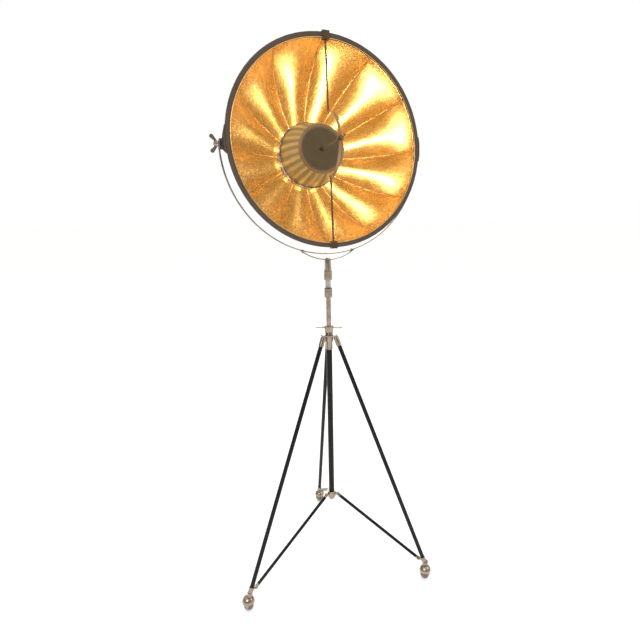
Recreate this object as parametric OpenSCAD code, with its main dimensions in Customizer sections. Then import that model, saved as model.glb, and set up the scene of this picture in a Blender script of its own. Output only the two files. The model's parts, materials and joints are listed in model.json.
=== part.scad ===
// Tripod floor lamp: rolling base, sliding pole, yoke and a gored reflector shade.
// The column stands on the Z axis of the lamp, the floor is Z = 0 and the shade faces -Y.

/* [Heights] */
// Top face of the crown flange above the floor
crown_z = 1139; // [1050:1:1200]
// Underside of the spider hub above the floor
hub_z = 343; // [320:1:370]
// Pole showing between the crown and the head barrel
pole_rise = 156; // [90:1:500]

/* [Tripod] */
// Distance from the column to each caster stem
foot_reach = 457; // [430:1:500]
// Turn of the tripod about the column, from the shade's own front
tripod_turn = -9.9; // [-30:0.1:30]
// Outer diameter of the column tube
column_d = 25; // [25:0.5:27]
// Outer diameter of a leg tube
leg_d = 18; // [16:0.5:19]
// Outer diameter of a strut tube
strut_d = 14; // [13:0.5:15]
// Diameter of a caster wheel
caster_wheel_d = 40; // [38:1:42]

/* [Head] */
// Outer diameter of the sliding pole
pole_d = 20; // [18:0.5:20]
// Width of the flat yoke bar
yoke_w = 18; // [14:1:22]
// Thickness of the flat yoke bar
yoke_t = 4; // [3:0.5:5]
// Turn of the two-armed collet nut
collet_turn = -25; // [-90:1:90]

/* [Shade] */
// Outer diameter of the rim hoop
rim_d = 760; // [700:10:800]
// Depth of the gored dish behind the rim
shade_depth = 343; // [340:1:350]
// Number of gores
gore_count = 12; // [8:1:16]
// How far each gore is drawn in between its ribs
gore_sag = 24; // [4:1:26]
// Upward tilt of the shade
shade_tilt = 4.7; // [-40:0.1:80]

/* [Glare bell] */
// Diameter of the closed front of the bell
bell_front_d = 186; // [160:2:200]
// Diameter of the ring at the back of the bell
bell_ring_d = 264; // [250:2:266]
// Distance of the bell's front behind the rim plane
bell_setback = 89; // [80:1:110]
// Distance of the bell's back edge behind the rim plane
bell_back = 297; // [290:1:299]
// Radius of the bow that carries the bell's stem
bow_r = 115; // [105:1:130]

/* [Hidden] */
$fn = 96;
big_fn = 360;

// Colours
BLACK = "#161615";
NICKEL = "#c9bfae";
STEEL = "#9a9488";
BRONZE = "#6b5438";
GOLD = "#dca23c";

// The column's place from the middle of the lamp's footprint
axis_x = 27.8;
axis_y = -78.5;

// Clearances
run_gap = 0.05;
touch_gap = 0.3;
cut_past = 1;

// Column, crown and hub
column_r = column_d / 2;
pole_r = pole_d / 2;
pole_bore_r = pole_r + run_gap;
flange_t = 6;
flange_r = 37;
crown_under = crown_z - flange_t;
crown_boss_r = 18.5;
crown_boss_h = 26;
ferrule_wall = 2;
ferrule_h = 36;
hub_r = 19.2;
hub_h = 30;
hub_rim_r = 20.8;
hub_rim_h = 5;
cap_r = 14;
cap_h = 18;
cap_rim_h = 6;
column_bottom = hub_z + 2;

// Legs: each leaves the crown at leg_top_r and ends over its caster
leg_r = leg_d / 2;
leg_bore_r = leg_r - 1.5;
leg_top_r = 28.5;
foot_z = 69;
leg_lean = atan((foot_reach - leg_top_r) / (crown_under - foot_z));
leg_run = (crown_under - foot_z) / cos(leg_lean);
stub_run = 34;
leg_start = 10;
leg_end = leg_run - 24;
sleeve_r = leg_r + 2;
sleeve_start = 6;
sleeve_end = 46;
foot_sleeve_start = leg_run - 38;
stem_r = 4;
stem_top = 84;
stem_bore_top = 85;
foot_boss_r = 12.5;
foot_boss_top = 84;

// Struts: pinned between the hub ears and the foot ferrule ears
strut_r = strut_d / 2;
strut_wall = 1;
hub_pin_r = 28;
hub_pin_z = hub_z + 17;
foot_pin_r = foot_reach - 33;
foot_pin_z = 93;
strut_drop = atan((hub_pin_z - foot_pin_z) / (foot_pin_r - hub_pin_r));
strut_run = (foot_pin_r - hub_pin_r) / cos(strut_drop);
fork_r = 7;
fork_h = 15;
fork_plug = 40;
fork_slot_depth = 12;
ear_t = 5;
ear_r = 6.5;
bolt_r = 2.5;
bolt_head_r = 4.6;
bolt_head_h = 3;

// Casters: a ball wheel between two lugs under a domed hood
wheel_r = caster_wheel_d / 2;
wheel_half_w = 17;
hood_r = 26;
hood_wall = 2.4;
hood_z = 41;
hood_skirt_z = 38;
caster_trail = 6;
lug_in = 18.5;
lug_out = 21;
lug_half_w = 6;
lug_top = hood_z + 12;
axle_r = 3;
neck_r = 8;
neck_top = foot_z - 1;
neck_bottom = 61;
caster_turns = [73, 163, -17];

// Collet and nut
collet_base_r = 15;
collet_base_h = 3;
collet_r = 12.5;
collet_top = crown_z + 30;
collet_slot_w = 1.6;
nut_r = 18;
nut_z = crown_z + 5;
nut_top = crown_z + 36;
nut_chamfer = 3;
arm_r = 3;
arm_reach = 52;
arm_root = 26;
arm_tip_r = 4.6;
arm_z = nut_top - 8;
arm_flat = 2.2;

// Head stack, from the barrel up to the yoke
barrel_z = crown_z + pole_rise;
barrel_r = 16;
barrel_h = 44;
barrel_chamfer = 4;
pole_bottom = barrel_z - 735;
pole_seat = 26;
pole_wall = 2;
spigot_from = pole_seat + 2;
neck_z = barrel_z + barrel_h;
neck_h = 31;
spigot_r = 11;
collar_z = neck_z + neck_h;
collar_r = 16.4;
collar_h = 39;
collar_chamfer = 1.5;
collar_bore_h = 30;
stud_z = collar_z + collar_h;
stud_h = 44;
stud_r1 = 14.2;
stud_r2 = 12.2;
stud_flat = 11.4;
stud_flat_from = 7;
stud_flat_h = 30;
stud_bolt_r = 5;
lock_screw_r = 3;
lock_head_r = 8;
lock_head_h = 8;
lock_turn = 80;
lock_reach = 22;

// Yoke and saddle, both bent in the plane of the pole
rim_r = rim_d / 2;
yoke_in = rim_r + 14;
yoke_out = yoke_in + yoke_t;
saddle_gap = 20;
saddle_r = 180;
saddle_bottom = yoke_out + saddle_gap + yoke_t;
saddle_top = yoke_t - saddle_bottom;
saddle_span = 115;
pivot_z = stud_z + stud_h + saddle_bottom;
saddle_end_z = -sqrt(yoke_out * yoke_out - saddle_span * saddle_span);
nut_corner_r = 8.6;
nut_h = 3.5;
yoke_end_up = 5;
rivet_r = 2.5;
rivet_head_r = 4.5;
rivet_head_h = 1.6;
rivet_seat = yoke_in - touch_gap / 2;
rivet_turn = 15.2;
rivet_grip = 12;

// Pivot hardware: a pad on each side of the hoop reaches back and down to the pivot
pivot_back = 44;
pivot_down = 9.5;
pivot_r = 5;
pad_in = rim_r - 8;
pad_out = rim_r + 3;
pad_edge = rim_r - 1;
pad_half = 46;
pad_flat_half = 21;
pad_tail_half = 17;
pad_front = 6;
pad_back = -pivot_back - 15;
spacer_r = 19;
spacer_start = pad_out + touch_gap;
spacer_end = sqrt(yoke_in * yoke_in - spacer_r * spacer_r) - touch_gap;
thumb_r = 10;
thumb_h = 5;
thumb_bevel = 1;
wing_boss_r = 9;
wing_boss_h = 14;
wing_tip = 24;
wing_tip_z = 21;
wing_pad_r = 7;
wing_root = 2;
wing_rim = 2;
wing_t = 4.4;
wing_dish = 0.9;

// Rim hoop, dish and ribs, in the shade's own frame: Z along the shade's axis
hoop_w = 19;
hoop_t = 16;
hoop_corner = 4;
hoop_wall = 1.2;
hoop_slot_from = 4.5;
hoop_slot = 5;
hoop_back = -hoop_t / 2 - touch_gap;
dish_r = rim_r - 14;
dish_power = 1.1;
hub_hole_r = 58;
w_hub = asin(hub_hole_r / dish_r);
w_rim = acos(pow(-hoop_back / shade_depth, 1 / dish_power));
gore_rows = 14;
gore_steps = 8;
gore_angle = 360 / gore_count;
sag_power = 1.2;
lining_t = 0.8;
skin_from = 1.1;
skin_to = 2.1;
rib_from = 2.4;
rib_to = 4.4;
rib_w = 5;

// Lamp holder, bulb, cap and gland, all on the shade's axis
hub_plane = -shade_depth * pow(cos(w_hub), dish_power);
plate_z = hub_plane + 2.4;
plate_r = 62;
plate_t = 2.4;
boss_r = 50;
cap_plane = hub_plane - 5.2;
socket_r = 21;
socket_h = 44;
socket_bore = 13.6;
socket_bore_h = 30;
base_r = 13;
base_h = 26;
glass_r = 34;
glass_t = 1;
glass_z = plate_z + plate_t + socket_h + 48;
glass_foot_r = 12.8;
glass_foot_z = plate_z + plate_t + socket_h;
glass_neck_r = 27;
glass_neck_h = glass_z - glass_foot_z - 20;
back_cap_r = 66;
back_rim_h = 7;
back_top_r = 30;
back_h = 21;
back_hollow_r = 40;
gland_r = 10;
gland_h = 12;
cord_r = 3.5;
cap_hole_r = 5.5;

// Cross rod, bow and bell
rod_r = 3.5;
rod_end = rim_r - 20;
bow_w = 10;
bow_t = 3;
bow_tail = 9;
rod_start = bow_r + bow_t / 2 + touch_gap;
clip_w = 26;
clip_in = rim_r - 24;
clip_out = rim_r + 4;
clip_front = 11;
bush_r = 4.4;
bush_flange_r = 9;
bush_flange_h = 7;
bush_out = 16;
focus_r = 3;
focus_tip = bow_r + 18;
focus_foot_r = 12;
focus_foot_h = 3;
focus_nut_z = bow_r + 4;
focus_nut_turn = 35;
focus_boss_r = 8;
focus_boss_h = 10;
focus_wing_tip = 16;
focus_wing_z = 11;
focus_pad_r = 4.5;
bell_front_r = bell_front_d / 2;
bell_cap_h = 14;
bell_lip = 3;
bell_lip_h = 2.5;
bell_wall = 1.2;
bell_bulge = 6;
bell_ring_r = bell_ring_d / 2;
bell_ring_t = 2;
bell_ring_h = 50;
bell_lap = 14;
bell_steps = 12;
bell_cap_z = -bell_setback - bell_cap_h;
skirt_front_r = bell_front_r - 1;
skirt_front = bell_cap_z - touch_gap;
skirt_back = -bell_back + bell_ring_h - bell_lap;
skirt_back_r = bell_ring_r - bell_ring_t - touch_gap;

// ---------- places ----------

// Everything stands on the column's axis
module on_axis() translate([axis_x, axis_y, 0]) children();

// Leg plane k: +X runs outward along leg k
module leg_plane(k) on_axis() rotate([0, 0, tripod_turn - 150 + 120 * (k - 1)]) children();

// Down a leg from the crown
module along_leg(k) leg_plane(k) translate([leg_top_r, 0, crown_under])
    rotate([0, 180 - leg_lean, 0]) children();

// Down a strut from its hub pin
module along_strut(k) leg_plane(k) translate([hub_pin_r, 0, hub_pin_z])
    rotate([0, 90 + strut_drop, 0]) children();

// A caster's swivel axis
module at_caster(k) leg_plane(k) translate([foot_reach, 0, 0])
    rotate([0, 0, caster_turns[k - 1] + 150 - 120 * (k - 1)]) children();

// The yoke's centre, upright
module at_yoke() on_axis() translate([0, 0, pivot_z]) children();

// The shade's frame at the middle of its rim: X along the pivots, Y up the dish, Z out of its mouth
module in_shade() at_yoke() rotate([90 - shade_tilt, 0, 0]) translate([0, pivot_down, pivot_back]) children();

// ---------- shared shapes ----------

module tube(r_out, r_in, h) {
    difference() {
        cylinder(r = r_out, h = h);
        translate([0, 0, -cut_past]) cylinder(r = r_in, h = h + 2 * cut_past);
    }
}

module chamfered_rod(r, h, chamfer) {
    cylinder(r1 = r - chamfer, r2 = r, h = chamfer);
    translate([0, 0, chamfer]) cylinder(r = r, h = h - 2 * chamfer);
    translate([0, 0, h - chamfer]) cylinder(r1 = r, r2 = r - chamfer, h = chamfer);
}

// A cross bolt along Y with a hexagon head and nut
module cross_bolt() {
    rotate([90, 0, 0]) cylinder(r = bolt_r, h = 2 * fork_r, center = true);
    for (side = [-1, 1])
        translate([0, side * (fork_r + bolt_head_h / 2), 0]) rotate([90, 0, 0])
            cylinder(r = bolt_head_r, h = bolt_head_h, center = true, $fn = 6);
}

// One forked end at its pin, with the plug that goes into the strut tube
module fork_end() {
    difference() {
        union() {
            sphere(r = fork_r);
            cylinder(r = fork_r, h = fork_h);
            cylinder(r = strut_r - strut_wall - run_gap, h = fork_plug);
        }
        translate([-2 * fork_r, -ear_t / 2 - run_gap, -2 * fork_r])
            cube([4 * fork_r, ear_t + 2 * run_gap, 2 * fork_r + fork_slot_depth]);
        rotate([90, 0, 0]) cylinder(r = bolt_r + run_gap, h = 4 * fork_r, center = true);
    }
}

// A flat ear with a pin hole along Y, reaching back along +X
module pin_ear(reach) {
    difference() {
        union() {
            rotate([90, 0, 0]) cylinder(r = ear_r, h = ear_t, center = true);
            translate([reach > 0 ? 0 : reach, -ear_t / 2, -ear_r]) cube([abs(reach), ear_t, 2 * ear_r]);
        }
        rotate([90, 0, 0]) cylinder(r = bolt_r + run_gap, h = 2 * ear_t, center = true);
    }
}

// A wing nut on +Z with its seat at the origin; its two wings lean out along X
module wing_nut(bore_r, boss_r, boss_h, tip, tip_z, pad_r) {
    difference() {
        union() {
            cylinder(r = boss_r, h = boss_h);
            for (side = [-1, 1])
                rotate([90, 0, 0]) translate([0, 0, -wing_t / 2]) linear_extrude(wing_t)
                    wing_outline(side, boss_r, boss_h, tip, tip_z, pad_r);
        }
        translate([0, 0, -cut_past]) cylinder(r = bore_r, h = boss_h + 2 * cut_past);
        for (side = [-1, 1], face = [-1, 1])
            translate([side * tip, face * wing_t / 2, tip_z]) rotate([90, 0, 0])
                cylinder(r = pad_r - wing_rim, h = 2 * wing_dish, center = true);
    }
}

// One wing from the boss out to its round tip
module wing_outline(side, boss_r, boss_h, tip, tip_z, pad_r) {
    polygon([
        [side * (boss_r - cut_past), wing_root], [side * (tip + pad_r / 2), tip_z - pad_r + cut_past],
        [side * (tip - pad_r / 2), tip_z + pad_r - cut_past], [side * (boss_r - cut_past), boss_h - wing_root]
    ]);
    translate([side * tip, tip_z]) circle(r = pad_r);
}

// ---------- dish surface ----------

function dish_radius(w) = dish_r * sin(w);
function dish_height(w) = -shade_depth * pow(cos(w), dish_power);
function row_angle(row) = w_hub + (w_rim - w_hub) * row / gore_rows;

// Outward unit normal of the dish's meridian, as [radial, axial]
function meridian_slope(w) =
    [dish_r * cos(w), dish_power * shade_depth * pow(cos(w), dish_power - 1) * sin(w)];
function outward(w) = [meridian_slope(w)[1], -meridian_slope(w)[0]] / norm(meridian_slope(w));

// How far the cloth is drawn in at a row and at a turn from its gore's middle, -1 to 1
function drawn_in(row, across) =
    gore_sag * pow(sin(180 * row / gore_rows), sag_power) * (1 - across * across);
function across_gore(col) = 2 * (col % gore_steps) / gore_steps - 1;

function cloth_point(row, col, out) =
    let (w = row_angle(row), n = outward(w), move = out - drawn_in(row, across_gore(col)))
    let (r = dish_radius(w) + n[0] * move, a = gore_angle * col / gore_steps)
    [r * cos(a), r * sin(a), dish_height(w) + n[1] * move];

// One layer of cloth between two distances outside the dish surface
module cloth_layer(from, to) {
    cols = gore_count * gore_steps;
    side = cols * (gore_rows + 1);
    points = [for (out = [from, to], row = [0:gore_rows], col = [0:cols - 1]) cloth_point(row, col, out)];
    inner = [
        for (row = [0:gore_rows - 1], col = [0:cols - 1])
            let (a = row * cols + col, b = row * cols + (col + 1) % cols)
                each [[a, a + cols, b + cols], [a, b + cols, b]]
    ];
    outer = [for (face = inner) [face[0] + side, face[2] + side, face[1] + side]];
    edges = [
        for (col = [0:cols - 1])
            let (a = col, b = (col + 1) % cols, top = cols * gore_rows)
                each [
                    [a, b, b + side], [a, b + side, a + side],
                    [a + top, b + side + top, b + top], [a + top, a + side + top, b + side + top]
                ]
    ];
    polyhedron(points = points, faces = concat(inner, outer, edges), convexity = 10);
}

// The meridian band that the ribs follow
function meridian_point(row, out) =
    let (w = row_angle(row), n = outward(w)) [dish_radius(w) + n[0] * out, dish_height(w) + n[1] * out];

module rib_band() {
    inside = [for (row = [0:gore_rows]) meridian_point(row, rib_from)];
    outside = [for (row = [gore_rows:-1:0]) meridian_point(row, rib_to)];
    rotate_extrude() polygon(concat(inside, outside));
}

// ---------- base ----------

module column_tube() color(BLACK) on_axis()
    translate([0, 0, column_bottom]) tube(column_r, pole_bore_r, crown_z - column_bottom - cut_past);

module column_ferrule() color(NICKEL) on_axis()
    translate([0, 0, crown_under - crown_boss_h - ferrule_h])
        tube(column_r + ferrule_wall, column_r + run_gap, ferrule_h);

module column_end_cap() color(NICKEL) on_axis() {
    translate([0, 0, hub_z - cap_rim_h]) cylinder(r = cap_r, h = cap_rim_h);
    translate([0, 0, hub_z - cap_rim_h]) intersection() {
        sphere(r = cap_r);
        translate([-cap_r, -cap_r, -cap_h]) cube([2 * cap_r, 2 * cap_r, cap_h]);
    }
    translate([0, 0, hub_z - cut_past]) cylinder(r = pole_bore_r - run_gap, h = cap_h);
}

module crown() color(NICKEL) difference() {
    union() {
        on_axis() translate([0, 0, crown_under]) cylinder(r = flange_r, h = flange_t);
        on_axis() translate([0, 0, crown_under - crown_boss_h]) cylinder(r = crown_boss_r, h = crown_boss_h);
        for (k = [1:3])
            along_leg(k) translate([0, 0, -cut_past]) cylinder(r = leg_bore_r - run_gap, h = stub_run);
    }
    on_axis() translate([0, 0, crown_under - 2 * crown_boss_h])
        cylinder(r = column_r + run_gap, h = 4 * crown_boss_h);
}

module collet_body() color(STEEL) on_axis() translate([0, 0, crown_z]) difference() {
    union() {
        cylinder(r = collet_base_r, h = collet_base_h);
        cylinder(r = collet_r, h = collet_top - crown_z);
    }
    translate([0, 0, -cut_past]) cylinder(r = pole_bore_r, h = collet_top - crown_z + 2 * cut_past);
    for (turn = [0, 90])
        rotate([0, 0, turn]) translate([-nut_r, -collet_slot_w / 2, 2 * collet_base_h])
            cube([2 * nut_r, collet_slot_w, collet_top]);
}

module collet_nut() color(NICKEL) on_axis() rotate([0, 0, collet_turn]) difference() {
    union() {
        translate([0, 0, nut_z]) chamfered_rod(nut_r, nut_top - nut_z, nut_chamfer);
        for (turn = [0, 180])
            rotate([0, 0, turn]) translate([0, 0, arm_z]) {
                rotate([0, 90, 0]) translate([0, 0, collet_r + cut_past])
                    cylinder(r = arm_r, h = arm_root - collet_r);
                translate([arm_root, 0, -arm_flat]) cylinder(r = arm_r, h = 2 * arm_flat);
                translate([arm_root, -arm_tip_r, -arm_flat])
                    cube([arm_reach - arm_root, 2 * arm_tip_r, 2 * arm_flat]);
                translate([arm_reach, 0, -arm_flat]) cylinder(r = arm_tip_r, h = 2 * arm_flat);
            }
    }
    translate([0, 0, nut_z - cut_past])
        cylinder(r = collet_r + run_gap, h = collet_top + touch_gap - nut_z + cut_past);
    cylinder(r = pole_r + touch_gap, h = 2 * crown_z);
}

module spider_hub() color(NICKEL) difference() {
    union() {
        on_axis() translate([0, 0, hub_z]) cylinder(r = hub_r, h = hub_h);
        on_axis() translate([0, 0, hub_z + hub_h - hub_rim_h]) cylinder(r = hub_rim_r, h = hub_rim_h);
        for (k = [1:3])
            leg_plane(k) translate([hub_pin_r, 0, hub_pin_z]) pin_ear(hub_r - hub_pin_r - cut_past);
    }
    on_axis() translate([0, 0, column_bottom]) cylinder(r = column_r + run_gap, h = 2 * hub_h);
    on_axis() translate([0, 0, hub_z - cut_past]) cylinder(r = pole_bore_r, h = 2 * hub_h);
}

module leg_tube(k) color(BLACK) along_leg(k)
    translate([0, 0, leg_start]) tube(leg_r, leg_bore_r, leg_end - leg_start);

module leg_top_ferrule(k) color(NICKEL) along_leg(k) difference() {
    translate([0, 0, sleeve_start]) cylinder(r = sleeve_r, h = sleeve_end - sleeve_start);
    cylinder(r = leg_bore_r, h = leg_run);
    translate([0, 0, leg_start - run_gap]) cylinder(r = leg_r + run_gap, h = leg_run);
}

module foot_ferrule(k) color(NICKEL) difference() {
    union() {
        along_leg(k) translate([0, 0, foot_sleeve_start])
            cylinder(r = sleeve_r, h = leg_run + sleeve_r - foot_sleeve_start);
        leg_plane(k) translate([foot_reach, 0, foot_z]) cylinder(r = foot_boss_r, h = foot_boss_top - foot_z);
        leg_plane(k) translate([foot_pin_r, 0, foot_pin_z]) pin_ear(foot_reach - foot_pin_r - leg_d);
    }
    along_leg(k) cylinder(r = leg_r + run_gap, h = leg_end);
    leg_plane(k) translate([foot_reach, 0, 0]) cylinder(r = stem_r + run_gap, h = stem_bore_top);
    leg_plane(k) translate([foot_pin_r, -leg_d, -foot_z]) cube([4 * leg_d, 2 * leg_d, 2 * foot_z]);
}

module strut_tube(k) color(BLACK) along_strut(k)
    translate([0, 0, fork_h]) tube(strut_r, strut_r - strut_wall, strut_run - 2 * fork_h);

module strut_ends() color(NICKEL) for (k = [1:3]) {
    along_strut(k) fork_end();
    along_strut(k) translate([0, 0, strut_run]) rotate([0, 180, 0]) fork_end();
}

module base_screws() color(STEEL) for (k = [1:3]) {
    along_strut(k) cross_bolt();
    along_strut(k) translate([0, 0, strut_run]) cross_bolt();
}

// ---------- casters ----------

// The middle of a caster's dome, trailing behind its stem
module at_dome(k) at_caster(k) translate([0, caster_trail, hood_z]) children();

// Along a caster's axle, from the middle of its wheel
module on_axle(k) at_caster(k) translate([0, caster_trail, wheel_r]) rotate([0, 90, 0]) children();

module hood_dome(k) difference() {
    union() {
        at_dome(k) sphere(r = hood_r);
        at_caster(k) translate([0, 0, neck_bottom]) cylinder(r = neck_r, h = neck_top - neck_bottom);
    }
    at_dome(k) sphere(r = hood_r - hood_wall);
    at_caster(k) translate([-2 * hood_r, -2 * hood_r, hood_skirt_z - hood_z])
        cube([4 * hood_r, 4 * hood_r, hood_z]);
}

module hood_lugs(k) for (side = [-1, 1])
    at_caster(k) translate([side * (lug_in + lug_out) / 2, caster_trail, (lug_top + wheel_r - lug_half_w) / 2])
        cube([lug_out - lug_in, 2 * lug_half_w, lug_top - wheel_r + lug_half_w], center = true);

module caster_hood(k) color(NICKEL) {
    hood_dome(k);
    hood_lugs(k);
    on_axle(k) cylinder(r = axle_r, h = 2 * lug_out, center = true);
    at_caster(k) translate([0, 0, neck_bottom + cut_past])
        cylinder(r = stem_r, h = stem_top - neck_bottom - cut_past);
}

module caster_wheel(k) color(BLACK) on_axle(k) difference() {
    intersection() {
        sphere(r = wheel_r);
        cylinder(r = 2 * wheel_r, h = 2 * wheel_half_w, center = true);
    }
    cylinder(r = axle_r + run_gap, h = 4 * wheel_r, center = true);
}

// ---------- pole and head ----------

module pole_tube() color(NICKEL) on_axis()
    translate([0, 0, pole_bottom]) tube(pole_r, pole_r - pole_wall, barrel_z + pole_seat - pole_bottom);

module pole_barrel() color(NICKEL) on_axis() translate([0, 0, barrel_z]) difference() {
    chamfered_rod(barrel_r, barrel_h, barrel_chamfer);
    translate([0, 0, -cut_past]) cylinder(r = pole_bore_r, h = pole_seat + cut_past);
    translate([0, 0, spigot_from]) cylinder(r = spigot_r + run_gap, h = barrel_h);
}

module pan_spigot() color(STEEL) on_axis() translate([0, 0, barrel_z + spigot_from])
    cylinder(r = spigot_r, h = barrel_h - spigot_from + neck_h + collar_bore_h - cut_past);

module pan_collar() color(NICKEL) difference() {
    on_axis() translate([0, 0, collar_z + touch_gap])
        chamfered_rod(collar_r, collar_h - touch_gap, collar_chamfer);
    on_axis() translate([0, 0, collar_z - cut_past])
        cylinder(r = spigot_r + run_gap, h = collar_bore_h + cut_past);
    along_lock(0) cylinder(r = lock_screw_r + run_gap, h = 2 * collar_r);
}

// Out through the collar's wall along the lock screw
module along_lock(from) on_axis() rotate([0, 0, lock_turn])
    translate([from, 0, collar_z + collar_bore_h / 2]) rotate([0, 90, 0]) children();

module pan_lock_screw() color(STEEL) {
    along_lock(spigot_r + touch_gap) cylinder(r = lock_screw_r, h = lock_reach - spigot_r);
    along_lock(lock_reach) cylinder(r = lock_head_r, h = lock_head_h, $fn = 12);
}

module yoke_stud() color(NICKEL) on_axis() difference() {
    union() {
        translate([0, 0, stud_z]) cylinder(r1 = stud_r1, r2 = stud_r2, h = stud_h);
        translate([0, 0, stud_z + stud_h - cut_past])
            cylinder(r = stud_bolt_r, h = yoke_t + nut_h + cut_past);
    }
    translate([-stud_flat - stud_r1, -stud_r1, stud_z + stud_flat_from])
        cube([stud_r1, 2 * stud_r1, stud_flat_h]);
}

module saddle_nut() color(STEEL) at_yoke() translate([0, 0, saddle_top + touch_gap]) difference() {
    cylinder(r = nut_corner_r, h = nut_h, $fn = 6);
    translate([0, 0, -cut_past]) cylinder(r = stud_bolt_r + run_gap, h = nut_h + 2 * cut_past);
}

module bent_bar(r_in, r_out) rotate([90, 0, 0]) translate([0, 0, -yoke_w / 2])
    tube(r_out, r_in, yoke_w, $fn = big_fn);

module yoke_saddle() color(NICKEL) difference() {
    bare_yoke_saddle();
    rivet_holes();
}

module bare_yoke_saddle() at_yoke() difference() {
    translate([0, 0, saddle_r + yoke_t - saddle_bottom]) bent_bar(saddle_r, saddle_r + yoke_t);
    translate([-2 * saddle_r, -yoke_w, saddle_end_z]) cube([4 * saddle_r, 2 * yoke_w, 4 * saddle_r]);
    rotate([90, 0, 0]) cylinder(r = yoke_out + touch_gap, h = 2 * yoke_w, center = true, $fn = big_fn);
    translate([0, 0, -saddle_bottom - yoke_t]) cylinder(r = stud_bolt_r + run_gap, h = 3 * yoke_t);
    translate([-stud_r1, -yoke_w, -saddle_bottom - yoke_t])
        cube([2 * stud_r1, 2 * yoke_w, yoke_t + touch_gap]);
}

// One rivet's axis: local +Z points outward from the yoke's centre
module at_rivet(side) at_yoke() rotate([0, 180 - side * rivet_turn, 0]) children();

module rivet_holes() for (side = [-1, 1])
    at_rivet(side) translate([0, 0, yoke_in - cut_past]) cylinder(r = rivet_r + run_gap, h = 2 * rivet_grip);

module saddle_rivets() color(STEEL) for (side = [-1, 1]) at_rivet(side) {
    translate([0, 0, rivet_seat - rivet_head_h])
        cylinder(r1 = rivet_head_r - cut_past, r2 = rivet_head_r, h = rivet_head_h);
    translate([0, 0, rivet_seat - cut_past]) cylinder(r = rivet_r, h = rivet_grip + cut_past);
}

module yoke_bar() color(NICKEL) difference() {
    bare_yoke_bar();
    rivet_holes();
}

module bare_yoke_bar() at_yoke() difference() {
    union() {
        difference() {
            bent_bar(yoke_in, yoke_out);
            translate([-2 * yoke_out, -yoke_w, 0]) cube([4 * yoke_out, 2 * yoke_w, 2 * yoke_out]);
        }
        for (side = [-1, 1]) translate([side * (yoke_in + yoke_t / 2), 0, 0]) {
            translate([-yoke_t / 2, -yoke_w / 2, -cut_past]) cube([yoke_t, yoke_w, yoke_end_up + cut_past]);
            translate([0, 0, yoke_end_up]) rotate([0, 90, 0])
                cylinder(r = yoke_w / 2, h = yoke_t, center = true);
        }
    }
    rotate([0, 90, 0]) cylinder(r = pivot_r + run_gap, h = 4 * yoke_out, center = true);
}

// One pivot side: local +Z points outward along the pivot
module pivot_side(side) at_yoke() rotate([0, side * 90, 0]) children();

module pivot_spacers() color(BLACK) for (side = [-1, 1])
    pivot_side(side) translate([0, 0, spacer_start])
        tube(spacer_r, pivot_r + run_gap, spacer_end - spacer_start);

// A pivot stud from its pad through the yoke and a nut
module pivot_stud(side, through) pivot_side(side) translate([0, 0, pad_in + cut_past])
    cylinder(r = pivot_r, h = yoke_out + through + cut_past - pad_in);

module pivot_studs() color(STEEL) {
    pivot_stud(-1, wing_boss_h);
    pivot_stud(1, thumb_h);
}

module wing_nut_left() color(NICKEL) pivot_side(-1) translate([0, 0, yoke_out + touch_gap])
    wing_nut(pivot_r + run_gap, wing_boss_r, wing_boss_h, wing_tip, wing_tip_z, wing_pad_r);

// A low round nut, hidden behind the hoop from the front
module thumb_nut_right() color(NICKEL) pivot_side(1) translate([0, 0, yoke_out + touch_gap]) difference() {
    chamfered_rod(thumb_r, thumb_h, thumb_bevel);
    translate([0, 0, -cut_past]) cylinder(r = pivot_r + run_gap, h = thumb_h + 2 * cut_past);
}

// ---------- shade ----------

// Hoop section drawn in by an inset, with flat corners
module hoop_outline(inset) polygon([
    [hoop_corner, inset], [hoop_w - hoop_corner, inset],
    [hoop_w - inset, hoop_corner], [hoop_w - inset, hoop_t - hoop_corner],
    [hoop_w - hoop_corner, hoop_t - inset], [hoop_corner, hoop_t - inset],
    [inset, hoop_t - hoop_corner], [inset, hoop_corner]
]);

// Rolled hoop section, open along its back where it grips the cloth
module hoop_section() translate([rim_r - hoop_w, -hoop_t / 2]) difference() {
    hoop_outline(0);
    hoop_outline(hoop_wall);
    translate([hoop_slot_from, -hoop_wall]) square([hoop_slot, 3 * hoop_wall]);
}

module rim_hoop() color(BRONZE) in_shade() rotate_extrude($fn = big_fn) hoop_section();

// A pad seen along the shade's axis, tapered towards the hoop at both ends
module pad_face(side) polygon([
    [side * rim_r / 2, -pad_half], [side * pad_edge, -pad_half], [side * pad_out, -pad_flat_half],
    [side * pad_out, pad_flat_half], [side * pad_edge, pad_half], [side * rim_r / 2, pad_half]
]);

// A pad seen along the pivots, narrowed from the hoop back to the pivot
module pad_profile() polygon([
    [-pad_half, pad_front], [pad_half, pad_front], [pad_half, hoop_back],
    [pad_tail_half - pivot_down, pad_back], [-pad_tail_half - pivot_down, pad_back], [-pad_half, hoop_back]
]);

module pad_block(side) intersection() {
    translate([0, 0, pad_back]) linear_extrude(pad_front - pad_back) pad_face(side);
    rotate([90, 0, 90]) linear_extrude(4 * rim_r, center = true) pad_profile();
}

module rim_pads() color(BRONZE) in_shade() for (side = [-1, 1]) difference() {
    pad_block(side);
    translate([0, 0, hoop_back]) cylinder(r = rim_r + touch_gap, h = 2 * hoop_t, $fn = big_fn);
    translate([0, 0, 2 * pad_back]) cylinder(r = pad_in, h = -4 * pad_back, $fn = big_fn);
    translate([0, -pivot_down, -pivot_back]) rotate([0, 90, 0])
        cylinder(r = pivot_r + run_gap, h = 4 * rim_r, center = true);
}

module shade_lining() color(GOLD) in_shade() cloth_layer(0, lining_t);

module shade_skin() color(BLACK) in_shade() cloth_layer(skin_from, skin_to);

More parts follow.
